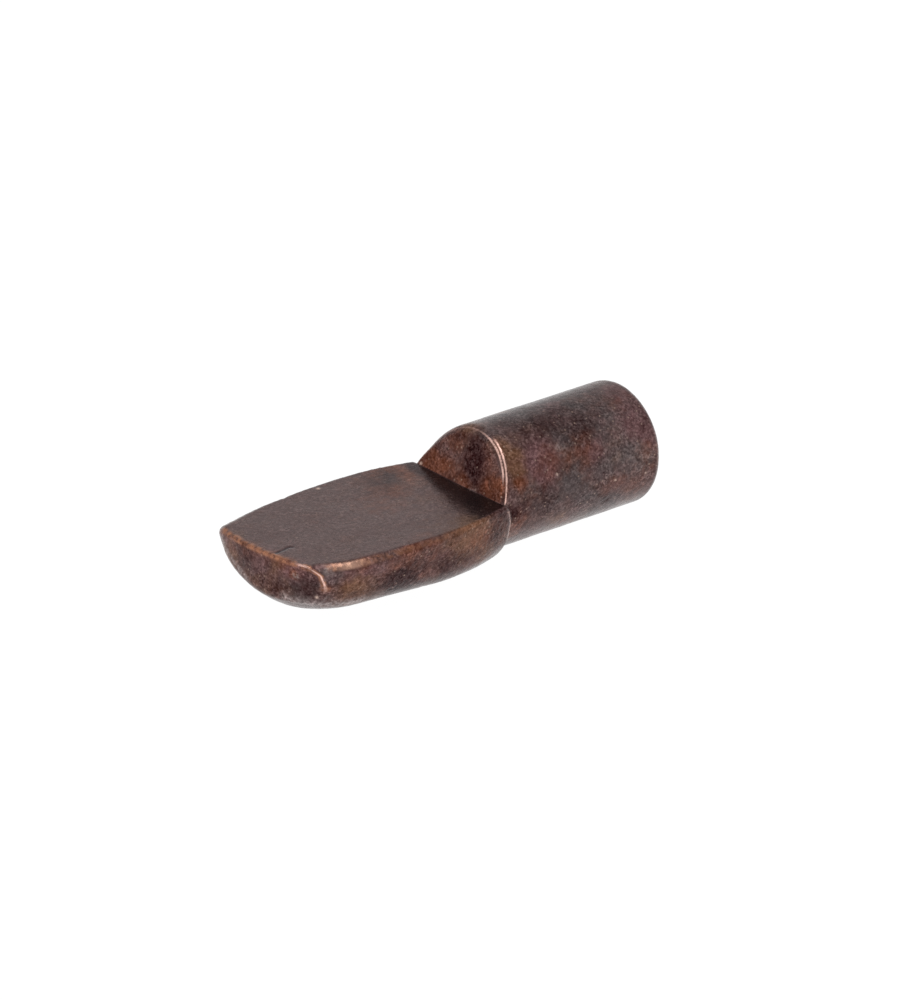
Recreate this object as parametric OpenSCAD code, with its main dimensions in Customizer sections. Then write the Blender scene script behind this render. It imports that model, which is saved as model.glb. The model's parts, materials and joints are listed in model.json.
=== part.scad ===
// Spoon-style shelf support pin, one solid casting.
// X runs along the pin: +X is the end that enters the hole, -X is the spoon that carries the shelf.
// The origin is on the pin's axis, in the plane of the shoulder that stops against the cabinet side.
// The shelf rests on the flat seat, which faces +Z.

/* [Pin] */
// Diameter of the round pin
pin_d = 5; // [4:0.05:6.5]
// Length of the pin from the shoulder to its end
pin_length = 7.8; // [5:0.05:12]
// Rounding of the edge at the pin's end
pin_end_r = 0.45; // [0.1:0.05:1]

/* [Seat and step] */
// Height of the flat seat above the pin's axis
seat_z = 0.4; // [0.1:0.05:0.8]
// Rounding of the seat's outer edge
seat_edge_r = 0.3; // [0.1:0.05:0.4]
// Distance from the shoulder back to the foot of the step
step_back = 0.64; // [0.4:0.01:1]
// Lean of the step's face towards the pin, in degrees
step_lean = 25; // [0:1:30]
// Distance that each cheek stands out past the pin where it meets the seat
cheek_out = 0.1; // [0.1:0.01:0.3]
// Thickness of the cheeks behind the step's face
cheek_t = 0.3; // [0.15:0.05:0.5]

/* [Spoon outline] */
// Length of the spoon from the shoulder to its front edge
spoon_length = 10.5; // [9:0.05:13]
// Greatest width of the spoon
spoon_width = 7; // [6.7:0.05:8]
// Distance from the shoulder to the widest place
widest_at = 6.3; // [4.5:0.05:7]
// Distance that each long side draws in from the widest place back to the shoulder
rear_draw = 0.35; // [0.2:0.05:0.5]
// Distance that each long side draws in from the widest place to the front edge
front_draw = 0.65; // [0.4:0.05:1]
// Radius of the bowed front edge, seen from above
front_bow_r = 12; // [8:0.5:30]
// Rounding of the two front corners, seen from above
front_corner_r = 0.5; // [0.45:0.05:1]

/* [Underside] */
// Distance that the keel stands below the pin, at the spoon's widest place
keel_out = 0.25; // [0.1:0.01:0.6]
// Distance that the keel's round section is wider than the spoon, on each side
keel_spare = 0.1; // [0.05:0.05:0.8]
// Rise of the keel towards the front, in degrees
keel_rise = 2.5; // [0:0.5:5]
// Radius of the ball shape that lifts the underside towards the front edge
bow_r = 5.1; // [4.8:0.05:6]
// Distance from the front edge back to the centre of that ball shape
bow_back = 3.45; // [3:0.05:4]
// Distance that the ball stands below the pin
bow_out = 0.12; // [0:0.01:0.3]
// Rise of the underside into that ball, in degrees
bow_rise = 6; // [4:0.5:9]

/* [Shoulder] */
// Distance that the shoulder stands out past the pin, where it stops against the cabinet side
shoulder_out = 0.25; // [0.2:0.01:0.5]
// Rounding of the shoulder's rim
shoulder_r = 0.4; // [0.1:0.05:0.5]
// Widening of the neck behind the shoulder, in degrees
neck_flare = 14; // [10:1:18]
// Depth below the seat to which the shoulder's upper corner is cut back
shoulder_cut = 0.85; // [0.5:0.05:1.2]
// Radius of that cut-back corner, seen from the side
shoulder_cut_r = 1.5; // [1:0.1:3]

/* [Hidden] */
$fn = 128;
pin_r = pin_d / 2;
half_width = spoon_width / 2;
keel_r = half_width + keel_spare;
rim_r = pin_r + shoulder_out;
// Size of the blocks and discs that reach past the whole spoon
reach = 3 * spoon_length;
// Depth to which joined shapes run into each other
bite = 0.2;

// Radius of an arc that falls away by drop over the length run
function arc_radius(run, drop) = (run * run + drop * drop) / (2 * drop);

// Point at distance r1 from p and r2 from q, on the right of the way from p to q
function meet(p, r1, q, r2) =
    let (way = q - p, d = norm(way), along = way / d, a = (r1 * r1 - r2 * r2 + d * d) / (2 * d))
    p + a * along + sqrt(r1 * r1 - a * a) * [along.y, -along.x];

rear_side_r = arc_radius(widest_at, rear_draw);
front_side_r = arc_radius(spoon_length - widest_at, front_draw);
side_centre = [-widest_at, half_width - front_side_r];
front_centre = [front_bow_r - spoon_length, 0];
corner_centre = meet(front_centre, front_bow_r - front_corner_r, side_centre, front_side_r - front_corner_r);

// Lays a shape drawn along Z along the pin
module along_pin() rotate([0, 90, 0]) children();

// Extrudes a side view, drawn in X and Z, across the whole width
module across() rotate([90, 0, 0]) linear_extrude(height = reach, center = true) children();

// Square corner of a side view, rounded at its upper right end
module rounded_end(r) {
    translate([-reach, -reach]) square([reach, reach - r]);
    translate([-reach, -reach]) square([reach - r, reach]);
    translate([-r, -r]) circle(r);
}

// Round pin with its rounded end, run on under the step
module pin() {
    along_pin() rotate_extrude() intersection() {
        translate([pin_r, pin_length]) rounded_end(pin_end_r);
        translate([0, -step_back - cheek_t]) square([pin_r, reach]);
    }
}

// Cheeks that run from the round pin out to the seat's corners
module cheeks() {
    corner = [pin_r + cheek_out, seat_z];
    touch = atan2(corner.y, corner.x) + acos(pin_r / norm(corner));
    points = [
        [corner.x, seat_z - bite],
        corner,
        pin_r * [cos(touch), sin(touch)],
        pin_r * [-cos(touch), sin(touch)],
        [-corner.x, seat_z],
        [-corner.x, seat_z - bite]
    ];
    intersection() {
        rotate([90, 0, 90]) linear_extrude(height = reach, center = true) polygon(points);
        translate([-step_back, 0, seat_z]) rotate([0, step_lean, 0])
            translate([0, -reach / 2, -reach / 2]) cube([cheek_t, reach, reach]);
    }
}

// Space in front of the leaning step, above the seat
module step_space() {
    across() polygon([
        [-step_back, seat_z],
        [-step_back + pin_d * tan(step_lean), seat_z + pin_d],
        [-reach, seat_z + pin_d],
        [-reach, seat_z]
    ]);
}

// Disc under the seat's plane with a rounded upper edge
module seat_disc(r) {
    rotate_extrude() intersection() {
        translate([r, seat_z]) rounded_end(seat_edge_r);
        translate([0, -reach / 2]) square([r, reach]);
    }
}

// The two long sides, each an arc of a wide disc
module side_pair(r) {
    intersection_for(side = [-1, 1])
        translate([-widest_at, side * (r - half_width), 0]) seat_disc(r);
}

module half_space(from) {
    translate([from, -reach / 2, -reach / 2]) cube(reach);
}

// Wedge outside the front corner on the +Y side
module corner_wedge() {
    to_side = corner_centre - side_centre;
    to_front = corner_centre - front_centre;
    a = to_side * reach / norm(to_side);
    b = to_front * reach / norm(to_front);
    translate(corner_centre) linear_extrude(height = reach, center = true)
        polygon([[0, 0], a, a + b, b]);
}

// Rounded front corner on the +Y side
module front_corner() {
    intersection() {
        translate(corner_centre) seat_disc(front_corner_r);
        corner_wedge();
    }
}

// Outline of the spoon, its front corners left out
module outline() {
    intersection() {
        side_pair(rear_side_r);
        half_space(-widest_at);
    }
    difference() {
        intersection() {
            side_pair(front_side_r);
            half_space(-widest_at - reach);
            translate(front_centre) seat_disc(front_bow_r);
        }
        corner_wedge();
        mirror([0, 1, 0]) corner_wedge();
    }
}

// Round shoulder that opens into the spoon as a cone
module neck() {
    cone_length = reach - shoulder_r;
    along_pin() {
        translate([0, 0, -reach])
            cylinder(r1 = rim_r + cone_length * tan(neck_flare), r2 = rim_r, h = cone_length);
        rotate_extrude() intersection() {
            translate([rim_r, 0]) rounded_end(shoulder_r);
            translate([0, -shoulder_r - bite]) square([rim_r, shoulder_r + bite]);
        }
    }
}

module keel() {
    translate([-widest_at, 0, keel_r - pin_r - keel_out]) rotate([0, keel_rise, 0]) along_pin()
        cylinder(r = keel_r, h = 2 * reach, center = true);
}

// Ball with a round bar of its own radius behind it
module bow() {
    translate([bow_back - spoon_length, 0, bow_r - pin_r - bow_out]) rotate([0, bow_rise, 0]) {
        sphere(bow_r);
        along_pin() cylinder(r = bow_r, h = reach);
    }
}

// Space behind the shoulder's upper corner, which is cut back to the step's foot
module corner_space() {
    foot = [-step_back, seat_z];
    low = [0, seat_z - shoulder_cut];
    across() difference() {
        translate([foot.x, low.y]) square([step_back + bite, shoulder_cut + bite]);
        translate(meet(foot, shoulder_cut_r, low, shoulder_cut_r)) circle(shoulder_cut_r);
    }
}

// Gives an outline the spoon's round underside and shoulder
module rounded_below() {
    intersection() {
        children();
        neck();
        keel();
        bow();
    }
}

module spoon() {
    difference() {
        union() {
            rounded_below() outline();
            rounded_below() front_corner();
            mirror([0, 1, 0]) rounded_below() front_corner();
        }
        corner_space();
    }
}

module shelf_pin() {
    color("#5f4a40") union() {
        difference() {
            union() {
                pin();
                cheeks();
            }
            step_space();
        }
        spoon();
    }
}

shelf_pin();
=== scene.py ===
import json
import math
from itertools import product

import bpy
import numpy as np
from mathutils import Matrix, Vector, noise


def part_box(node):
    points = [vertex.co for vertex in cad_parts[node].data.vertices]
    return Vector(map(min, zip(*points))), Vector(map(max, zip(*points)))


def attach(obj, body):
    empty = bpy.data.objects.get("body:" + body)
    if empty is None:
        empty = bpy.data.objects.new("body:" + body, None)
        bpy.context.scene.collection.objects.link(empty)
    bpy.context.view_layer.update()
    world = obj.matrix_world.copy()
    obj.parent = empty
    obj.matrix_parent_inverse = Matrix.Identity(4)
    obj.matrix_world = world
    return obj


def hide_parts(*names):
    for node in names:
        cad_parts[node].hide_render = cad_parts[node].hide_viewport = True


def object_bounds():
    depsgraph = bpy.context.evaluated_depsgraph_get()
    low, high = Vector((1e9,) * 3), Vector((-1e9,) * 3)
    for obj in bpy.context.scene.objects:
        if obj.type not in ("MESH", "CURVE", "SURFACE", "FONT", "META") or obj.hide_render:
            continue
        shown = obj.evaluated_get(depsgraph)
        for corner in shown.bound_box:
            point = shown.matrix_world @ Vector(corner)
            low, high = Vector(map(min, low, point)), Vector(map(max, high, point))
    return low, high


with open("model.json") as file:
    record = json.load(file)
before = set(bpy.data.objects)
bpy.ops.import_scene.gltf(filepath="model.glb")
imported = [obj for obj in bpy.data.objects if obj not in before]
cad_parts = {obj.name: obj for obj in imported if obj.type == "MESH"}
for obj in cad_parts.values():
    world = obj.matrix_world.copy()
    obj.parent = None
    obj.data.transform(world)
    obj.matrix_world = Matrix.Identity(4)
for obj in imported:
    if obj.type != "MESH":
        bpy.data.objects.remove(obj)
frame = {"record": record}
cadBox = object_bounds()
print("frame loaded")

# Everything about the casting is worked out in millimetres and scaled once, when its mesh is made
millimetre = 0.001
nodeName = "shelf_pin"
lowCorner, highCorner = (np.array(corner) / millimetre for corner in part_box(nodeName))
mounts = {mount["name"]: mount for mount in frame["record"]["mounts"]}
pinRadius = mounts["pin"]["dims"]["r_mm"]
seatHeight = mounts["shelf_seat"]["pos_m"][2] / millimetre
pinEnd, spoonEnd = highCorner[0], lowCorner[0]

# Camera
viewpoint = dict(azimuth=-39.79, elevation=24.33, roll=0.62, distance=0.30009, aim=(-0.80, 0.28, -0.34),
                 lens=277.3, sensor=36, nearest=0.01)


def makeCamera(setup):
    data = bpy.data.cameras.new("camera")
    data.lens = setup["lens"]
    data.sensor_width = setup["sensor"]
    data.clip_start = setup["nearest"]
    camera = bpy.data.objects.new("camera", data)
    bpy.context.scene.collection.objects.link(camera)
    turn = (Matrix.Rotation(math.radians(setup["azimuth"]), 4, "Z")
            @ Matrix.Rotation(math.radians(90 - setup["elevation"]), 4, "X")
            @ Matrix.Rotation(math.radians(setup["roll"]), 4, "Z"))
    back = turn @ Vector((0, 0, setup["distance"]))
    camera.matrix_world = Matrix.Translation(Vector(setup["aim"]) * millimetre + back) @ turn
    bpy.context.scene.camera = camera


makeCamera(viewpoint)
print("camera set")

# Floor and light
stage = dict(floorWide=1.6, floorColor=(0.86, 0.86, 0.86), whiteShare=0.9, mirroredShare=0.9,
             whiteStrength=1.1)
worldLight = dict(strength=0.75)
lamps = dict(
    top=dict(place=(0.04, 0.02, 0.34), aim=(0, 0, 0), wide=0.2, power=0.12),
    left=dict(place=(-0.33, 0.12, 0.14), aim=(0, 0, 0), wide=0.2, power=0.05))


def addNode(tree, kind, **settings):
    node = tree.nodes.new(kind)
    for name, value in settings.items():
        setattr(node, name, value)
    return node


def joined(tree, kind, sources, **settings):  # a node with its sockets linked or set
    node = addNode(tree, kind, **settings)
    for socket, source in sources.items():
        if isinstance(source, bpy.types.NodeSocket):
            tree.links.new(source, node.inputs[socket])
        else:
            node.inputs[socket].default_value = source
    return node


def emptyTree(owner):
    owner.use_nodes = True
    owner.node_tree.nodes.clear()
    return owner.node_tree


def seenShare(tree, direct, mirrored):  # share of plain white for the camera, and for reflections and glass
    path = addNode(tree, "ShaderNodeLightPath")
    total = 0
    shares = {"Is Camera Ray": direct, "Is Glossy Ray": mirrored, "Is Transmission Ray": mirrored}
    for name, share in shares.items():
        sources = {0: path.outputs[name], 1: share, 2: total}
        total = joined(tree, "ShaderNodeMath", sources, operation="MULTIPLY_ADD").outputs[0]
    return total


def showWhite(tree, share, plain, white, outputKind):  # white to what is seen, plain to the object's light
    mix = joined(tree, "ShaderNodeMixShader", {"Fac": share, 1: plain.outputs[0], 2: white.outputs[0]})
    joined(tree, outputKind, {"Surface": mix.outputs[0]})


def makeFloor(setup, height):
    half = setup["floorWide"] / 2
    corners = [(-half, -half, height), (half, -half, height), (half, half, height), (-half, half, height)]
    mesh = bpy.data.meshes.new("floor")
    mesh.from_pydata(corners, [], [(0, 1, 2, 3)])
    floor = bpy.data.objects.new("floor", mesh)
    bpy.context.scene.collection.objects.link(floor)
    material = bpy.data.materials.new("palePaper")
    tree = emptyTree(material)
    paper = joined(tree, "ShaderNodeBsdfDiffuse", {"Color": (*setup["floorColor"], 1)})
    white = joined(tree, "ShaderNodeEmission", {"Strength": setup["whiteStrength"]})
    share = seenShare(tree, setup["whiteShare"], setup["mirroredShare"])
    showWhite(tree, share, paper, white, "ShaderNodeOutputMaterial")
    mesh.materials.append(material)


def makeWorld(setup):
    world = bpy.data.worlds.new("studio")
    bpy.context.scene.world = world
    tree = emptyTree(world)
    light = joined(tree, "ShaderNodeBackground", {"Strength": setup["strength"]})
    white = joined(tree, "ShaderNodeBackground", {"Strength": 1})
    showWhite(tree, seenShare(tree, 1, 1), light, white, "ShaderNodeOutputWorld")


def makeLamp(name, setup):
    data = bpy.data.lights.new(name, "AREA")
    data.shape = "DISK"
    data.size = setup["wide"]
    data.energy = setup["power"]
    lamp = bpy.data.objects.new(name, data)
    bpy.context.scene.collection.objects.link(lamp)
    place = Vector(setup["place"])
    lamp.location = place
    lamp.rotation_euler = (place - Vector(setup["aim"])).to_track_quat("Z", "Y").to_euler()


makeFloor(stage, cadBox[0].z)
makeWorld(worldLight)
for lampName, lampSetup in lamps.items():
    makeLamp(lampName, lampSetup)
bpy.context.scene.view_settings.view_transform = "Standard"
print("floor and light set")

# Form of the casting. A Span holds the place where something starts and the place where it is full.
shank = dict(endRound=0.45, footRound=0.04, runOn=0.3, underSeat=0.15)
step = dict(footX=-0.64, lean=24.0, nearBack=0.1, rimRound=0.1, rimTop=0.3, nearTopSpan=(1.0, 2.0),
            farTopSpan=(0.5, 1.1), flare=0.1, flareHigh=0.4, flareDeep=0.45, leastRadius=0.1)
spoon = dict(  # each pair in sides, edgeWide and edgeDeep is a distance along X and a size there
    sides=((0.4, 2.62), (-0.64, 2.9), (-1.7, 3.15), (-3.2, 3.39), (-5.2, 3.49), (-6.5, 3.5), (-7.7, 3.44),
           (-8.7, 3.29), (-9.6, 3.06), (-10.6, 2.8)),
    edgeWide=((0.0, 0.05), (-0.8, 0.07), (-3.0, 0.16), (-5.2, 0.27), (-7.6, 0.44), (-9.4, 0.52),
              (-10.6, 0.5)),
    edgeDeep=((0.0, 0.08), (-0.8, 0.1), (-3.0, 0.22), (-5.2, 0.3), (-7.6, 0.34), (-9.4, 0.32), (-10.6, 0.3)),
    edgePower=1.4, farEdge=0.9, farEdgeSpan=(-0.5, 0.5), sideLean=0.27, rearLeanSpan=(-0.5, -4.5),
    frontLeanSpan=(-10.4, -8.8), nearDraw=0.16, nearDrawSpan=(-8.4, -9.8))
spoonFront = dict(bow=12.0, skew=0.09, lean=0.55, leanReach=2.9, leanPower=4, creaseRound=0.08,
                  farCrease=0.45, farCreaseSpan=(1.2, 3.0), lowerRound=0.14, lowerSpan=(-0.2, -1.1))
underside = dict(keelRadius=6.0, keelDepth=2.6, keelX=-6.3, keelRise=2.5, keelRound=0.45,
                 keelRoundSpan=(1.2, -1.0), keelRoundLeast=0.4,
                 bowRadius=4.65, bowDepth=2.65, bowX=-7.25, bowRise=5.0, bowRound=0.5)
shoulder = dict(stand=0.25, flare=14.0, neckRound=0.5, rimRound=0.3, rimRoundSpan=(0.5, -0.3),
                rimRoundLeast=0.15, cornerRadius=1.5, cornerDrop=0.85, nearBackSpan=(-0.4, 0.4))


def roundMeet(a, b, radius):  # what is inside both forms, with the edge between them rounded
    rounded = np.hypot(np.maximum(a + radius, 0), np.maximum(b + radius, 0))
    return np.minimum(-radius, np.maximum(a, b)) + rounded


def roundJoin(a, b, radius):  # both forms as one, with a fillet between them
    rounded = np.hypot(np.maximum(radius - a, 0), np.maximum(radius - b, 0))
    return np.maximum(radius, np.minimum(a, b)) - rounded


def smoothCurve(points, x):  # a curve through a few points, with even slopes between them
    xs, ys = np.array(sorted(points)).T
    slopes = np.gradient(ys, xs)
    i = np.clip(np.searchsorted(xs, x) - 1, 0, len(xs) - 2)
    run = xs[i + 1] - xs[i]
    t = np.clip((x - xs[i]) / run, 0, 1)
    return ((2 * t**3 - 3 * t**2 + 1) * ys[i] + (t**3 - 2 * t**2 + t) * run * slopes[i]
            + (3 * t**2 - 2 * t**3) * ys[i + 1] + (t**3 - t**2) * run * slopes[i + 1])


def ramp(value, start, end):  # 0 at start, 1 at end, straight between
    return np.clip((value - start) / (end - start), 0, 1)


def fade(value, start, end):  # 0 at start, 1 at end, smooth between
    t = ramp(value, start, end)
    return t * t * (3 - 2 * t)


def tilted(x, z, centreX, centreZ, degrees):
    c, s = math.cos(math.radians(degrees)), math.sin(math.radians(degrees))
    return (x - centreX) * c - (z - centreZ) * s, (x - centreX) * s + (z - centreZ) * c


def sideWall(x, y, z):  # distance outside the long sides, which lean in below the seat
    lean = spoon["sideLean"] * fade(x, *spoon["rearLeanSpan"]) * fade(x, *spoon["frontLeanSpan"])
    drawn = spoon["nearDraw"] * fade(x, *spoon["nearDrawSpan"]) * (y < 0)
    return np.abs(y) - smoothCurve(spoon["sides"], x) + drawn + lean * np.maximum(seatHeight - z, 0)


def sideEdge(x, y):  # width and depth of the rounding along the seat's long edges
    share = 1 - (1 - spoon["farEdge"]) * fade(y, *spoon["farEdgeSpan"])
    return smoothCurve(spoon["edgeWide"], x) * share, smoothCurve(spoon["edgeDeep"], x) * share


def plateForm(x, y, z):  # the spoon's outline and flat top, its long edges dubbed off
    alongX = x[:, :1, :1] if x.ndim == 3 else x  # on a grid, x changes only along the first axis
    wide, deep = sideEdge(alongX, y)
    out = sideWall(alongX, y, z)
    up = z - seatHeight
    power = spoon["edgePower"]
    fall = (np.maximum(out + wide, 0) / wide)**power + (np.maximum(up + deep, 0) / deep)**power
    edge = (fall**(1 / power) - 1) * np.minimum(wide, deep)
    return np.where((out > -wide) & (up > -deep), edge, np.maximum(out, up))


def bellyForm(x, y, z):  # the round underside: keel, lift to the front, and neck behind the shoulder
    sizes = underside
    keelZ = tilted(x, z, sizes["keelX"], sizes["keelRadius"] - sizes["keelDepth"], sizes["keelRise"])[1]
    keel = np.hypot(y, keelZ) - sizes["keelRadius"]
    bowX, bowZ = tilted(x, z, sizes["bowX"], sizes["bowRadius"] - sizes["bowDepth"], sizes["bowRise"])
    bow = np.sqrt(np.minimum(bowX, 0)**2 + y * y + bowZ * bowZ) - sizes["bowRadius"]
    flare = math.radians(shoulder["flare"])
    neck = (np.hypot(y, z) - pinRadius - shoulder["stand"] + x * math.tan(flare)) * math.cos(flare)
    return roundMeet(roundMeet(keel, bow, sizes["bowRound"]), neck, shoulder["neckRound"])


def frontForm(x, y, z):  # the bowed front face, which leans back towards its near side
    leaning = (y < 0) * (y / spoonFront["leanReach"])**spoonFront["leanPower"]
    lean = spoonFront["lean"] * leaning * np.maximum(seatHeight - z, 0)
    return spoonEnd + y * y / (2 * spoonFront["bow"]) + lean - spoonFront["skew"] * y - x


def nearShift(y):  # the step stands a little further back at its near end
    return step["nearBack"] * ramp(y, 0, -pinRadius)


def rearForm(x, y, z):  # the shoulder's rear, its upper corner cut back to the step's foot
    foot = np.array((step["footX"], seatHeight))
    low = np.array((0, seatHeight - shoulder["cornerDrop"]))
    way = low - foot
    length = np.hypot(*way)
    rise = math.sqrt(shoulder["cornerRadius"]**2 - length**2 / 4)
    centre = (foot + low) / 2 + rise * np.array((way[1], -way[0])) / length
    outX = np.maximum(x - nearShift(y) * fade(z, *shoulder["nearBackSpan"]) - centre[0], 0)
    corner = np.hypot(outX, np.maximum(z - centre[1], 0)) - shoulder["cornerRadius"]
    return np.maximum(corner, x)


def spoonBody(x, y, z):  # the spoon before its front and rear are cut
    share = np.maximum(ramp(z, *underside["keelRoundSpan"]), underside["keelRoundLeast"])
    return roundMeet(plateForm(x, y, z), bellyForm(x, y, z), underside["keelRound"] * share)


def spoonForm(x, y, z):
    near, far, lower = (spoonFront[name] for name in ("creaseRound", "farCrease", "lowerRound"))
    crease = near + (far - near) * fade(y, *spoonFront["farCreaseSpan"])
    crease = crease + (lower - crease) * fade(z, *spoonFront["lowerSpan"])
    form = roundMeet(spoonBody(x, y, z), frontForm(x, y, z), crease)
    share = np.maximum(ramp(z, *shoulder["rimRoundSpan"]), shoulder["rimRoundLeast"])
    return roundMeet(form, rearForm(x, y, z), shoulder["rimRound"] * share)


def stepFace(x, y, z):  # distance in front of the step's leaning face
    lean = math.radians(step["lean"])
    return (step["footX"] + nearShift(y) + (z - seatHeight) * math.tan(lean) - x) * math.cos(lean)


def castForm(x, y, z):  # below 0 inside the metal, above 0 outside it
    radius = np.hypot(y, z)
    face = stepFace(x, y, z)
    flare = step["flare"] * np.exp(-np.maximum(z - seatHeight, 0) / step["flareHigh"])
    flare = flare * fade(face, -step["flareDeep"], 0)
    wide = pinRadius + flare * np.abs(y) / np.maximum(radius, step["leastRadius"])
    pin = roundMeet(radius - wide, x - pinEnd, shank["endRound"])
    dulled = np.where(y < 0, ramp(z, *step["nearTopSpan"]), ramp(z, *step["farTopSpan"]))
    upper = roundMeet(pin, face, step["rimRound"] + (step["rimTop"] - step["rimRound"]) * dulled)
    rearEnd = step["footX"] - shank["runOn"] - x
    lower = np.maximum(np.maximum(pin, rearEnd), z - seatHeight + shank["underSeat"])
    return roundJoin(np.minimum(np.maximum(upper, rearEnd), lower), spoonForm(x, y, z), shank["footRound"])


# Mesh of the casting
skin = dict(cell=0.065, settleRounds=3, relaxRounds=2, relaxShare=0.5, slopeReach=0.01, leastSquare=0.05,
            longestPush=0.05)


def wrapForm(form, low, high, cell):  # closed quad mesh round the places where the form is below 0
    axes = [np.arange(low[i] - 2 * cell, high[i] + 3 * cell, cell) for i in range(3)]  # with air all round
    values = form(*np.meshgrid(*axes, indexing="ij"))
    inside = values < 0
    size = values.shape
    corners = list(product((0, 1), repeat=3))

    def shifted(grid, corner):
        return grid[tuple(slice(corner[i], size[i] - 1 + corner[i]) for i in range(3))]

    filled = sum(shifted(inside, corner).astype(np.int8) for corner in corners)
    onSkin = (filled > 0) & (filled < len(corners))
    number = np.full(onSkin.shape, -1)
    number[onSkin] = np.arange(onSkin.sum())
    cells = np.argwhere(onSkin)
    cornerValues = np.stack([shifted(values, corner)[onSkin] for corner in corners])
    points, hits = np.zeros((len(cells), 3)), np.zeros(len(cells))
    for a, b in product(range(len(corners)), repeat=2):
        way = np.subtract(corners[b], corners[a])
        if a < b and np.abs(way).sum() == 1:
            crossing = (cornerValues[a] < 0) != (cornerValues[b] < 0)
            share = cornerValues[a] / np.where(crossing, cornerValues[a] - cornerValues[b], 1) * crossing
            points += crossing[:, None] * (np.array(corners[a]) + share[:, None] * way)
            hits += crossing
    points = np.array([axis[0] for axis in axes]) + (cells + points / hits[:, None]) * cell
    quads = []
    for axis in range(3):
        order = [axis, (axis + 1) % 3, (axis + 2) % 3]
        solid, names = np.transpose(inside, order), np.transpose(number, order)
        changes = solid[:-1, 1:-1, 1:-1] != solid[1:, 1:-1, 1:-1]
        ring = np.stack([side[changes] for side in
                         (names[:, :-1, :-1], names[:, 1:, :-1], names[:, 1:, 1:], names[:, :-1, 1:])], 1)
        outward = solid[:-1, 1:-1, 1:-1][changes]
        quads.append(np.where(outward[:, None], ring, ring[:, ::-1]))
    return points, np.concatenate(quads)


def slopeOf(form, points):
    reach = skin["slopeReach"]
    slopes = np.empty_like(points)
    for axis in range(3):
        way = np.eye(3)[axis] * reach
        slopes[:, axis] = (form(*(points + way).T) - form(*(points - way).T)) / (2 * reach)
    return slopes


def settle(form, points, rounds):  # draws each point onto the form's skin
    longest = skin["longestPush"]
    for _ in range(rounds):
        slopes = slopeOf(form, points)
        push = form(*points.T) / np.maximum((slopes**2).sum(1), skin["leastSquare"])
        points = points - np.clip(push, -longest, longest)[:, None] * slopes
    return points


def neighbourMean(values, edges):
    count = np.bincount(edges.ravel(), minlength=len(values))
    total = np.stack([np.bincount(edges[:, 0], column[edges[:, 1]], len(values))
                      + np.bincount(edges[:, 1], column[edges[:, 0]], len(values)) for column in values.T], 1)
    return total / count[:, None]


def makeSkin(setup):  # even quads that lie on the form
    points, quads = wrapForm(castForm, lowCorner, highCorner, setup["cell"])
    points = settle(castForm, points, setup["settleRounds"])
    sides = np.concatenate([quads[:, [i, (i + 1) % 4]] for i in range(4)])
    edges = np.unique(np.sort(sides, axis=1), axis=0)
    for _ in range(setup["relaxRounds"]):
        points = points + setup["relaxShare"] * (neighbourMean(points, edges) - points)
        points = settle(castForm, points, setup["settleRounds"] - 1)
    return points, quads


skinPoints, skinQuads = makeSkin(skin)
print("skin made:", len(skinPoints), "points")

# Wear, tints, painted shade, painted highlights and painted reflections. They are marks on the skin's points,
# which the finish turns into colours.
def noiseAt(points, size, shift):
    return np.array([noise.noise(Vector(point)) for point in points / size + shift])


def unit(vectors):
    return vectors / np.linalg.norm(vectors, axis=1)[:, None]


# How far the skin faces up, how high it lies above the seat, and how far it faces the front
zones = dict(seatSpan=(0.93, 0.99), seatDepthSpan=(-0.06, -0.02), stepSpan=(0.75, 0.9), overlap=0.1)


def surfaceZones(points, normals):  # how far each point belongs to the seat and to the step's face
    x, z = points[:, 0], points[:, 2]
    seat = fade(normals[:, 2], *zones["seatSpan"]) * fade(z - seatHeight, *zones["seatDepthSpan"])
    seat = seat * (x < step["footX"] + zones["overlap"])
    stepped = fade(-normals[:, 0], *zones["stepSpan"]) * (z > seatHeight)
    stepped = stepped * (x > step["footX"] - zones["overlap"])
    return dict(seat=seat, stepped=stepped)


def spotMarks(points, place, size):  # one soft round spot
    return np.exp(-((points - place)**2).sum(1) / size**2)


def patchMarks(points, patches):  # soft round patches, each a place, a size and a strength
    return sum(strength * spotMarks(points, place, size) for place, size, strength in patches)


def lineMarks(points, route, wide):  # 1 on the line through the route's points, 0 beside it
    route = np.array(route)
    nearest = np.full(len(points), np.inf)
    for start, end in zip(route[:-1], route[1:]):
        way = end - start
        share = np.clip(((points - start) @ way) / (way @ way), 0, 1)
        nearest = np.minimum(nearest, np.linalg.norm(points - start - share[:, None] * way, axis=1))
    return np.exp(-(nearest / wide)**2)


scratch = dict(route=((-10.17, -0.66), (-9.99, -0.63), (-9.73, -0.60), (-9.5, -0.53), (-9.36, -0.62)),
               wide=0.06, deep=0.03, reach=0.1)


def scratchMarks(points):
    onSeat = np.abs(points[:, 2] - seatHeight) < scratch["reach"]
    return lineMarks(points[:, :2], scratch["route"], scratch["wide"]) * onSeat


# Pale patches, each a place, a size and a strength; the one at the front of the seat's near edge is a painted
# highlight
paleAndReflected = [((-9.4, -2.85, 0.25), 0.25, 0.8), ((-10.16, -1.82, -0.15), 0.12, 1.0),
        ((2.9, -1.9, 1.6), 0.25, 0.5), ((5.8, -2.2, 1.0), 1.2, 0.2), ((6.9, -2.45, 0.4), 0.6, 0.15),
        ((-9.95, -2.0, -0.75), 0.6, 0.12)]
paleReflections = [  # painted reflections of the white surroundings along the front face's far border and the spoon's lower near edge, each a route, a width and a strength
    (((-10.44, 2.34, 0.23), (-10.49, 2.21, 0.0), (-10.53, 1.66, -0.55), (-10.54, 0.66, -1.07)), 0.1, 0.9),
    (((-10.24, -1.31, -1.23), (-9.55, -2.28, -1.33), (-8.39, -2.66, -1.49), (-7.73, -2.76, -1.52)),
     0.22, 1.0)]


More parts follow.
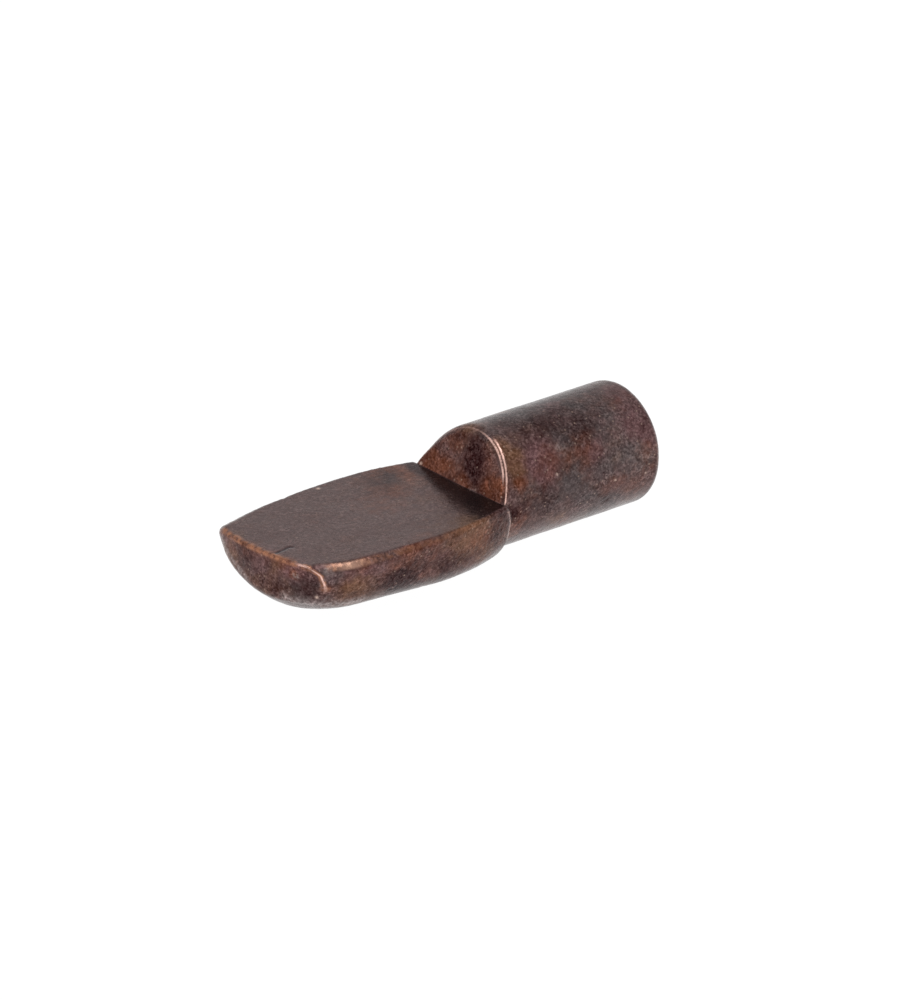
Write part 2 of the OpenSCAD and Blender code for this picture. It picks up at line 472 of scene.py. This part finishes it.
def paleMarks(points):
    edges = sum(strength * lineMarks(points, route, wide) for route, wide, strength in paleReflections)
    return patchMarks(points, paleAndReflected) + edges


tints = dict(  # each patch is a place on the skin, its size and its strength
    # dark: patina, and painted shade in the crease behind the shoulder, on the seat at the step's foot and
    # low on the near side
    darkAndShade=[((-9.9, -2.2, -0.45), 0.55, 0.75), ((-10.3, -1.2, -0.75), 0.5, 0.25),
          ((-6.0, -3.3, -0.6), 0.6, 0.5), ((-5.0, -3.4, -0.35), 0.5, 0.35), ((-10.4, 0.3, -0.3), 1.5, 0.2),
          ((0.1, -0.3, 1.9), 0.5, 0.7), ((-0.3, -0.5, 1.2), 0.6, 0.7), ((-3.0, 1.8, 0.4), 1.3, 0.5),
          ((0.1, 0.9, 2.0), 0.5, 0.4), ((-0.1, -2.5, -0.2), 0.5, 0.7), ((2.7, -1.0, 2.3), 0.8, 0.5),
          ((3.9, -0.7, 2.4), 0.9, 0.4), ((-1.0, -1.6, 0.4), 0.8, 0.5), ((-1.2, 0.6, 0.4), 0.6, 0.35),
          ((-10.5, 2.6, -0.2), 0.25, 0.6), ((0.7, -2.5, -0.1), 0.6, 0.4), ((-3.5, -3.3, -0.3), 1.2, 0.25),
          ((-6.3, -3.1, -1.1), 0.9, 0.35), ((-3.6, -3.05, -1.2), 0.8, 0.2), ((-1.2, -2.9, -0.5), 0.7, 0.3),
          ((-2.2, 2.3, 0.4), 0.8, 0.4), ((3.5, -2.2, -1.2), 2.0, 0.12), ((-10.5, 0.0, -0.3), 0.7, 0.15),
          ((-0.4, -0.6, 0.9), 0.4, 0.2), ((-10.3, 2.85, 0.2), 0.2, 0.8)],
    cool=[((4.5, 0.0, 2.5), 2.2, 0.7), ((1.8, 0.4, 2.5), 1.2, 0.5), ((5.7, -2.1, 1.3), 0.45, 0.9),
          ((4.7, -2.45, 0.5), 0.6, 0.5), ((2.6, -2.5, 0.0), 1.0, 0.5), ((6.3, -2.4, 0.5), 0.8, 0.5),
          ((4.6, -2.4, -0.7), 1.2, 0.4), ((-9.2, -3.1, 0.0), 0.5, 0.9), ((1.4, -2.4, 0.3), 0.9, 0.7),
          ((-10.45, 0.8, -0.3), 0.6, 0.4), ((0.1, -0.4, 1.8), 0.4, 0.5), ((6.4, -1.6, 1.7), 0.8, 0.5),
          ((7.7, -0.8, 1.0), 0.8, 0.6), ((6.9, -2.45, 0.4), 0.5, 0.8), ((5.5, -2.25, 1.0), 0.6, 0.6),
          ((-10.1, -1.8, -0.6), 0.6, 1.0), ((-9.9, -2.0, -1.0), 0.4, 0.4)],
    russet=[((4.3, -2.2, 1.2), 0.6, 0.7), ((6.8, -2.1, 1.35), 0.6, 0.5), ((2.0, -1.9, 1.6), 0.8, 0.7),
            ((5.6, -2.0, 1.6), 0.8, 0.4), ((1.6, -2.2, 1.2), 0.8, 0.6), ((7.3, -2.4, 0.9), 0.4, 0.5),
            ((-10.2, -1.8, 0.0), 0.5, 0.7), ((-10.5, -0.2, 0.0), 0.8, 0.5), ((-7.9, -3.3, 0.0), 0.5, 0.7),
            ((-6.9, -3.3, -0.2), 0.6, 0.5), ((-3.6, -3.3, -0.3), 0.9, 0.15), ((7.8, 0.5, 0.8), 1.0, 0.2)],
    sandy=[((0.6, -2.0, 1.45), 0.5, 1.1), ((0.5, -1.2, 2.2), 0.5, 0.6), ((1.0, -1.8, 1.7), 0.5, 0.6),
           ((-8.2, -3.2, -0.55), 0.7, 0.5), ((-3.5, -3.3, -0.5), 0.9, 0.8), ((-1.9, -3.0, -0.7), 1.0, 1.1),
           ((-4.8, -2.95, -1.4), 0.8, 0.4), ((-2.6, -3.2, 0.0), 0.8, 0.6), ((-10.5, 1.6, 0.0), 0.7, 0.6),
           ((-10.35, -0.9, 0.2), 0.4, 0.5), ((-2.4, -0.4, 0.4), 0.9, 0.2), ((0.3, 0.6, 2.5), 0.5, 0.6),
           ((2.5, -2.2, -1.2), 0.5, 0.5)],
    rust=[((-0.5, 2.0, 0.7), 0.45, 1.3), ((-0.42, -1.75, 0.7), 0.5, 1.0), ((-0.5, -0.3, 0.6), 0.5, 0.5),
          ((-0.5, 0.9, 0.7), 0.5, 0.4), ((-0.3, -2.2, 1.0), 0.3, 0.5), ((-2.2, 2.0, 0.4), 1.4, 0.7),
          ((-5.5, -3.2, -1.1), 1.3, 0.35), ((-10.4, -0.6, 0.3), 0.4, 0.3),
          ((-10.17, -1.75, -0.12), 0.2, 0.9), ((-4.0, 0.5, 0.4), 1.3, 0.3), ((-10.5, 0.4, 0.3), 0.5, 0.4),
          ((-10.3, -1.3, 0.3), 0.35, 0.6), ((-9.45, -2.9, -0.65), 0.3, 0.7),
          ((-8.0, -3.3, 0.15), 0.35, 0.4), ((-1.2, -2.9, -0.4), 0.7, 0.35), ((-4.5, -3.4, 0.0), 0.8, 0.35),
          ((-10.45, 0.9, 0.1), 0.4, 0.35), ((-2.0, 2.4, 0.4), 0.8, 0.25), ((0.6, -2.3, 0.95), 0.35, 0.8),
          ((-0.5, -2.0, 0.5), 0.4, 0.5)])
drift = dict(size=1.7, shift=13.7, span=(0, 0.6), share=0.4, seatLess=0.8, most=1.2)
# Painted shade: the seat before the step's foot, and the near side towards its bottom
shade = dict(cornerReach=1.35, cornerSlant=0.22, cornerSpan=(-1.15, -0.2), cornerDark=1.1,
             lowerSpan=(-0.35, -0.9), lowerDark=0.27)
stepTint = dict(darkAndShade=0.15, russet=0.2, rust=0.25)


def tintMarks(points, seat, stepped):
    tinted = {}
    for number, (name, patches) in enumerate(tints.items()):
        drifted = fade(noiseAt(points, drift["size"], drift["shift"] * number), *drift["span"])
        amount = drift["share"] * drifted * (1 - drift["seatLess"] * seat) + patchMarks(points, patches)
        tinted[name] = np.clip(amount, 0, drift["most"])
    x, y, z = points.T
    reach = shade["cornerReach"] - shade["cornerSlant"] * y  # the painted shade and reflection of the step on the seat reach further at the step's near end
    corner = seat * fade((x - step["footX"]) / reach, *shade["cornerSpan"])
    # painted shade: the near side darker towards its bottom
    lower = fade(z, *shade["lowerSpan"]) * (y < 0) * (x < 0)
    tinted["darkAndShade"] = np.maximum(tinted["darkAndShade"], shade["cornerDark"] * corner) + shade["lowerDark"] * lower
    for name, share in stepTint.items():
        tinted[name] = tinted[name] + share * stepped
    return tinted


def acrossEdge(a, b):  # 0 along the edge where two forms meet, above 0 on b's side of it
    return np.minimum(b, 0) - np.minimum(a, 0)


frontBorder = dict(topSpan=(0.15, 0.3), creaseSideSpan=(2.3, 2.55), creaseHighSpan=(-0.75, -0.35), wide=0.28,
                   creaseNarrower=0.14, rear=-8.5)


def frontMarks(points):  # place across the border of the front face, and how worn that border is
    x, y, z = points.T
    crease = fade(-y, *frontBorder["creaseSideSpan"]) * fade(z, *frontBorder["creaseHighSpan"])
    wide = frontBorder["wide"] - frontBorder["creaseNarrower"] * crease
    markStrength = np.maximum(fade(z, *frontBorder["topSpan"]), crease) * (x < frontBorder["rear"])
    return acrossEdge(spoonBody(x, y, z), frontForm(x, y, z)) / wide, markStrength


# The near side's border towards the front is worn copper with a painted highlight on it
sideBorder = dict(rearShare=0.4, frontShare=0.65, nearRearSpan=(-1.5, -3.0), nearFrontSpan=(-7.2, -8.2),
                  farRearSpan=(-1.2, -2.5), farFrontSpan=(-8.5, -6.5), cornerSpan=(-9.5, -9.1),
                  edgeSpan=(0, 0.2))


def sideMarks(points):  # place across the seat's rounded long edges, and how worn they are, with a painted highlight near the front of the near side
    x, y, z = points.T
    wide, deep = sideEdge(x, y)
    across = sideWall(x, y, z) / wide + 1
    down = (z - seatHeight) / deep + 1
    near = sideBorder["rearShare"] * fade(x, *sideBorder["nearRearSpan"])
    near = near + sideBorder["frontShare"] * fade(x, *sideBorder["nearFrontSpan"])
    far = sideBorder["rearShare"] * fade(x, *sideBorder["farRearSpan"]) * fade(x, *sideBorder["farFrontSpan"])
    ends = fade(down, *sideBorder["edgeSpan"]) * fade(across, *sideBorder["edgeSpan"])
    return across - down, np.where(y < 0, near, far) * ends * fade(x, *sideBorder["cornerSpan"])


rearRim = dict(sideSpan=(-1.2, -2.0), highShare=0.45, lowSpan=(0, -0.6), front=-0.9, rear=0.1, top=0.15,
               clear=0.06)


def rearMarks(points):  # place across the shoulder's rear rim, and how strong the painted highlight on it is on the near side
    x, y, z = points.T
    share = rearRim["highShare"] + (1 - rearRim["highShare"]) * fade(z, *rearRim["lowSpan"])
    onRim = (x > rearRim["front"]) * (x < rearRim["rear"]) * (z < rearRim["top"])
    onRim = onRim * (np.hypot(y, z) > pinRadius + rearRim["clear"])
    markStrength = fade(y, *rearRim["sideSpan"]) * share * onRim
    return acrossEdge(spoonBody(x, y, z), rearForm(x, y, z)), markStrength


stepRim = dict(under=0.05, behind=0.1, startSpan=(22, 36), topShare=0.2, topSpan=(88, 66),
               endSpan=(178, 150), outerSpan=(72, 58))


def rimMarks(points):  # place across the step's rim, and how strong its two lines of rubbed copper with a painted highlight are
    x, y, z = points.T
    angle = np.degrees(np.arctan2(z, -y))  # 0 at the near side, 90 at the top
    above = (z > seatHeight - stepRim["under"]) * (x > step["footX"] - stepRim["behind"])
    share = stepRim["topShare"] + (1 - stepRim["topShare"]) * fade(angle, *stepRim["topSpan"])
    inner = above * fade(angle, *stepRim["startSpan"]) * share * fade(angle, *stepRim["endSpan"])
    outer = above * fade(angle, *stepRim["outerSpan"])
    return acrossEdge(np.hypot(y, z) - pinRadius, stepFace(x, y, z)), inner, outer


# A painted highlight on the rubbed copper of the side border, the worn crease with a painted highlight on it,
# and small painted glints on raised bumps, with their sizes
burnishedHighlight = [((-8.5, -3.15, 0.3), 0.7, 1.0)]
creaseWearAndHighlight = [((-10.05, -2.1, 0.38), 0.25, 1.0), ((-9.8, -2.7, 0.1), 0.35, 1.0),
              ((-9.6, -2.75, -0.3), 0.3, 0.9)]
glints = [((-0.32, -2.27, 1.08), 0.05), ((-0.42, -2.4, 0.83), 0.05), ((-9.62, -2.45, -0.95), 0.055),
          ((2.4, -2.36, 0.8), 0.04), ((6.9, -2.5, -0.35), 0.04), ((5.3, -2.5, -0.2), 0.04),
          ((-5.2, 3.0, 0.4), 0.07), ((-0.62, 2.3, 0.47), 0.05)]


def wearMarks(points, normals):  # everything that the finish has to know about each point
    marks = surfaceZones(points, normals)
    marks.update(tintMarks(points, marks["seat"], marks["stepped"]))
    marks["frontAcross"], marks["frontWorn"] = frontMarks(points)
    marks["sideAcross"], marks["sideWornAndHighlit"] = sideMarks(points)
    marks["rearAcross"], marks["rearHighlight"] = rearMarks(points)
    marks["rimAcross"], marks["innerRim"], marks["outerRim"] = rimMarks(points)
    marks["burnishedHighlight"] = patchMarks(points, burnishedHighlight)
    marks["creaseWornAndHighlit"] = patchMarks(points, creaseWearAndHighlight)
    marks["paleAndReflected"] = paleMarks(points)
    marks["glint"] = sum(spotMarks(points, place, size) for place, size in glints)
    marks["scratch"] = scratchMarks(points)
    return marks


grain = dict(sandSize=0.17, fineSandSize=0.085, fineSandShare=0.5, sandDeep=0.008, swellSize=1.3,
             swellDeep=0.012, pitSize=0.375, pitSpan=(0.5, 0.75), pitPatchSize=2.25, pitPatchSpan=(0, 0.3),
             pitDeep=0.03, seatSmooth=0.75, pinSmooth=0.5, pinSpan=(-0.3, 0.1), glintHigh=0.02)
grainShifts = dict(sand=3.1, fineSand=7.7, swell=11.3, pits=21.5, pitPatches=2.2)


def roughen(points, normals, marks, setup, shifts):  # sand, swells, pits, the bumps under the painted glints and the scratch in the skin
    sand = noiseAt(points, setup["sandSize"], shifts["sand"])
    sand = sand + setup["fineSandShare"] * noiseAt(points, setup["fineSandSize"], shifts["fineSand"])
    swell = noiseAt(points, setup["swellSize"], shifts["swell"])
    pits = fade(noiseAt(points, setup["pitSize"], shifts["pits"]), *setup["pitSpan"])
    pits = pits * fade(noiseAt(points, setup["pitPatchSize"], shifts["pitPatches"]), *setup["pitPatchSpan"])
    rough = 1 - setup["seatSmooth"] * marks["seat"]
    rough = rough * (1 - setup["pinSmooth"] * fade(points[:, 0], *setup["pinSpan"]))
    push = (sand * setup["sandDeep"] - pits * setup["pitDeep"]) * rough + swell * setup["swellDeep"]
    push = push + marks["glint"] * setup["glintHigh"] - marks["scratch"] * scratch["deep"]
    return points + normals * push[:, None]


skinNormals = unit(slopeOf(castForm, skinPoints))
skinMarks = wearMarks(skinPoints, skinNormals)
skinPoints = roughen(skinPoints, skinNormals, skinMarks, grain, grainShifts)
print("grain and wear made")


def makeCasting(points, quads, marks):
    mesh = bpy.data.meshes.new("shelfPinCasting")
    mesh.from_pydata((points * millimetre).tolist(), [], quads.tolist())
    mesh.polygons.foreach_set("use_smooth", np.ones(len(quads), dtype=bool))
    for name, values in marks.items():
        mesh.attributes.new(name, "FLOAT", "POINT").data.foreach_set("value", values.astype(np.float32))
    casting = bpy.data.objects.new("shelfPinCasting", mesh)
    bpy.context.scene.collection.objects.link(casting)
    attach(casting, "root")
    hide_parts(nodeName)
    return casting


casting = makeCasting(skinPoints, skinQuads, skinMarks)
print("casting made")

# Antique copper finish
# The darkest colour also paints shade, the pale one also paints reflections and a highlight, the burnish and
# rim colours are rubbed copper with a painted highlight, and the glint colour is a painted highlight
colors = dict(
    base=(0.106, 0.060, 0.057), cool=(0.078, 0.059, 0.059), sandy=(0.158, 0.076, 0.045),
    russet=(0.146, 0.072, 0.074), rust=(0.170, 0.056, 0.030), darkAndShade=(0.034, 0.010, 0.010),
    paleAndReflected=(0.30, 0.24, 0.23), speck=(0.36, 0.25, 0.20), scratch=(0.025, 0.014, 0.02), glint=(0.85, 0.62, 0.52),
    edge=(0.38, 0.17, 0.10), burnishAndHighlight=(0.68, 0.40, 0.29), rim=(0.88, 0.56, 0.48))
noises = dict(  # scale, detail and shift of each noise
    paleAndReflected=(6.0, 3, 8.8), calm=(0.8, 2, 5.3), broken=(4.0, 4, 1.9), fine=(9.0, 2, 4.1))
finish = dict(  # a Span holds a low and a high value, and for some what those two become
    metal=0.95, roughness=(0.2, 0.32), roughnessSpan=(0.3, 0.7), seatPolish=0.04, wornRoughness=0.24,
    noiseRoughness=0.6, mottleScale=2.2, mottleDetail=8, mottleShift=3.7, tintSpan=(0.5, 1.4),
    tintOrder=("cool", "sandy", "russet", "rust", "darkAndShade"), paleSpan=(0.35, 0.6, 0.2, 0.9),
    grains=((5.0, 1.25), (11.0, 0.95)), grainDetail=3, sandScale=13.0, sandShare=0.65, seatGrain=0.62,
    calmSpan=(0.35, 0.65, 0.65, 1.1), lighterGrain=0.35, darkestGrain=-0.5, dust=(0.052, 0.046, 0.044),
    bumpDeep=0.000007, speckScale=3.2, speckSpan=(0.08, 0.16, 1, 0), speckShare=0.6,
    patchySpan=(0.36, 0.62, 0.15, 1), brightPatchy=0.6, rimSpan=(0.35, 0.55, 0.55, 1), lineCore=0.3)
wearAndHighlightLines = dict(  # marks that place a line and say how strong it is, its middle, width and unevenness across the edge; front is rubbed copper, side rubbed copper with a painted highlight near its front, inner, outer and crease rubbed copper with a painted highlight, rear a painted highlight
    front=dict(across="frontAcross", markStrength="frontWorn", middle=0.0, wide=1.0, uneven="broken", shake=0.9),
    side=dict(across="sideAcross", markStrength="sideWornAndHighlit", middle=-0.1, wide=0.9, uneven="broken", shake=0.3),
    inner=dict(across="rimAcross", markStrength="innerRim", middle=0.0, wide=0.06, uneven="fine", shake=0.06),
    outer=dict(across="rimAcross", markStrength="outerRim", middle=-0.15, wide=0.055, uneven="fine", shake=0.06),
    rear=dict(across="rearAcross", markStrength="rearHighlight", middle=-0.08, wide=0.11, uneven="fine", shake=0.0),
    crease=dict(across="frontAcross", markStrength="creaseWornAndHighlit", middle=-0.1, wide=0.34, uneven="broken", shake=0.3))


def calc(tree, operation, a, b=0.0):
    return joined(tree, "ShaderNodeMath", {0: a, 1: b}, operation=operation).outputs[0]


def added(tree, a, b):
    return joined(tree, "ShaderNodeVectorMath", {0: a, 1: b}, operation="ADD").outputs[0]


def scaled(tree, vector, scale):
    return joined(tree, "ShaderNodeVectorMath", {0: vector, "Scale": scale}, operation="SCALE").outputs[0]


def blend(tree, factor, a, b):
    sources = {"Factor": factor, "A": a, "B": b}
    return joined(tree, "ShaderNodeMix", sources, data_type="RGBA").outputs["Result"]


def mark(tree, name):
    return addNode(tree, "ShaderNodeAttribute", attribute_name=name).outputs["Fac"]


def spread(tree, value, low, high, start=0.0, end=1.0):  # low to high becomes start to end
    sources = {"Value": value, "From Min": low, "From Max": high, "To Min": start, "To Max": end}
    return joined(tree, "ShaderNodeMapRange", sources, interpolation_type="SMOOTHSTEP").outputs["Result"]


def speckle(tree, place, scale, detail, shift):  # noise, read at a shifted place so that no two are alike
    moved = added(tree, place, (shift, -shift, 2 * shift))
    sources = {"Vector": moved, "Scale": scale, "Detail": detail, "Roughness": finish["noiseRoughness"]}
    return joined(tree, "ShaderNodeTexNoise", sources).outputs["Fac"]


def mottledColor(tree, place, setup):  # the dark metal with its tints, the darkest of which also paints shade, and its pale places, which also paint reflections and a highlight
    color = (*colors["base"], 1)
    for number, name in enumerate(setup["tintOrder"]):
        shift = setup["mottleShift"] * number
        mottle = speckle(tree, place, setup["mottleScale"], setup["mottleDetail"], shift)
        share = spread(tree, calc(tree, "ADD", mark(tree, name), mottle), *setup["tintSpan"])
        color = blend(tree, share, color, (*colors[name], 1))
    patchy = spread(tree, speckle(tree, place, *noises["paleAndReflected"]), *setup["paleSpan"])
    return blend(tree, calc(tree, "MULTIPLY", mark(tree, "paleAndReflected"), patchy), color, (*colors["paleAndReflected"], 1))


def grainStrength(tree, place, setup):  # calmer on the seat, and uneven from place to place
    onSeat = spread(tree, mark(tree, "seat"), 0, 1, 1, setup["seatGrain"])
    uneven = spread(tree, speckle(tree, place, *noises["calm"]), *setup["calmSpan"])
    return calc(tree, "MULTIPLY", onSeat, uneven)


def grainRelief(tree, place, strength, setup):  # how much lighter and how much higher each grain is
    cells = joined(tree, "ShaderNodeTexVoronoi", {"Vector": place, "Scale": setup["sandScale"]})
    sand = joined(tree, "ShaderNodeSeparateColor", {"Color": cells.outputs["Color"]}).outputs["Red"]
    grains = [(speckle(tree, place, scale, setup["grainDetail"], scale), share)
              for scale, share in setup["grains"]]
    light, height = 0.0, 0.0
    for source, share in grains + [(sand, setup["sandShare"])]:
        relief = calc(tree, "MULTIPLY", calc(tree, "SUBTRACT", source, 0.5), strength)
        light = calc(tree, "ADD", light, calc(tree, "MULTIPLY", relief, share))
        height = calc(tree, "ADD", height, relief)
    lighter = calc(tree, "MULTIPLY", calc(tree, "ABSOLUTE", light), setup["lighterGrain"])
    return calc(tree, "MAXIMUM", calc(tree, "ADD", light, lighter), setup["darkestGrain"]), height


def specked(tree, color, place, strength, setup):
    cells = joined(tree, "ShaderNodeTexVoronoi", {"Vector": place, "Scale": setup["speckScale"]})
    speck = calc(tree, "MULTIPLY", spread(tree, cells.outputs["Distance"], *setup["speckSpan"]), strength)
    return blend(tree, calc(tree, "MULTIPLY", speck, setup["speckShare"]), color, (*colors["speck"], 1))


def markedLine(tree, unevenness, line):  # 1 on a marked line of wear and painted highlight, 0 beside it
    shake = calc(tree, "MULTIPLY", calc(tree, "SUBTRACT", unevenness[line["uneven"]], 0.5), line["shake"])
    across = calc(tree, "ADD", mark(tree, line["across"]), shake)
    away = calc(tree, "ABSOLUTE", calc(tree, "SUBTRACT", across, line["middle"]))
    onLine = spread(tree, away, finish["lineCore"] * line["wide"], line["wide"], 1, 0)
    return calc(tree, "MULTIPLY", onLine, mark(tree, line["markStrength"]))


def strongest(tree, unevenness, *names):  # the strongest of several lines of wear and painted highlight
    share = 0.0
    for name in names:
        share = calc(tree, "MAXIMUM", share, markedLine(tree, unevenness, wearAndHighlightLines[name]))
    return share


def wearAndHighlightShares(tree, unevenness, setup):  # shares of rubbed copper and painted highlight on the broad borders and on the thin rims
    brightly = calc(tree, "MULTIPLY", mark(tree, "burnishedHighlight"), setup["brightPatchy"])
    patchy = calc(tree, "MAXIMUM", spread(tree, unevenness["broken"], *setup["patchySpan"]), brightly)
    border = calc(tree, "MULTIPLY", strongest(tree, unevenness, "front", "side"), patchy)
    thin = spread(tree, unevenness["fine"], *setup["rimSpan"])
    rim = calc(tree, "MULTIPLY", strongest(tree, unevenness, "inner", "outer", "rear", "crease"), thin)
    return border, rim


def makeFinish(setup):
    material = bpy.data.materials.new("antiqueCopper")
    tree = emptyTree(material)
    objectPlace = addNode(tree, "ShaderNodeTexCoord").outputs["Object"]
    place = scaled(tree, objectPlace, 1 / millimetre)

    color = mottledColor(tree, place, setup)
    strength = grainStrength(tree, place, setup)
    light, height = grainRelief(tree, place, strength, setup)
    grained = scaled(tree, color, calc(tree, "ADD", light, 1.0))
    color = added(tree, grained, scaled(tree, setup["dust"], light))
    color = specked(tree, color, place, strength, setup)

    unevenness = {name: speckle(tree, place, *noises[name]) for name in ("broken", "fine")}
    border, rim = wearAndHighlightShares(tree, unevenness, setup)
    # rubbed copper on the borders, burnished with a painted highlight near the front of the near side
    copper = blend(tree, mark(tree, "burnishedHighlight"), (*colors["edge"], 1), (*colors["burnishAndHighlight"], 1))
    color = blend(tree, border, color, copper)
    # thin rims and the crease: rubbed copper with a painted highlight; the shoulder's rear rim: a painted
    # highlight
    color = blend(tree, rim, color, (*colors["rim"], 1))
    color = blend(tree, mark(tree, "scratch"), color, (*colors["scratch"], 1))
    # painted glints
    color = blend(tree, calc(tree, "MINIMUM", mark(tree, "glint"), 1), color, (*colors["glint"], 1))

    rough = spread(tree, unevenness["broken"], *setup["roughnessSpan"], *setup["roughness"])
    polish = calc(tree, "MULTIPLY", mark(tree, "seat"), setup["seatPolish"])
    sources = {"Factor": calc(tree, "MAXIMUM", border, rim), "A": calc(tree, "SUBTRACT", rough, polish),
               "B": setup["wornRoughness"]}
    rough = joined(tree, "ShaderNodeMix", sources).outputs["Result"]
    bump = joined(tree, "ShaderNodeBump", {"Height": height, "Strength": 1.0, "Distance": setup["bumpDeep"]})
    sources = {"Base Color": color, "Metallic": setup["metal"], "Roughness": rough,
               "Normal": bump.outputs["Normal"]}
    surface = joined(tree, "ShaderNodeBsdfPrincipled", sources)
    joined(tree, "ShaderNodeOutputMaterial", {"Surface": surface.outputs[0]})
    return material


casting.data.materials.append(makeFinish(finish))
print("finish made")
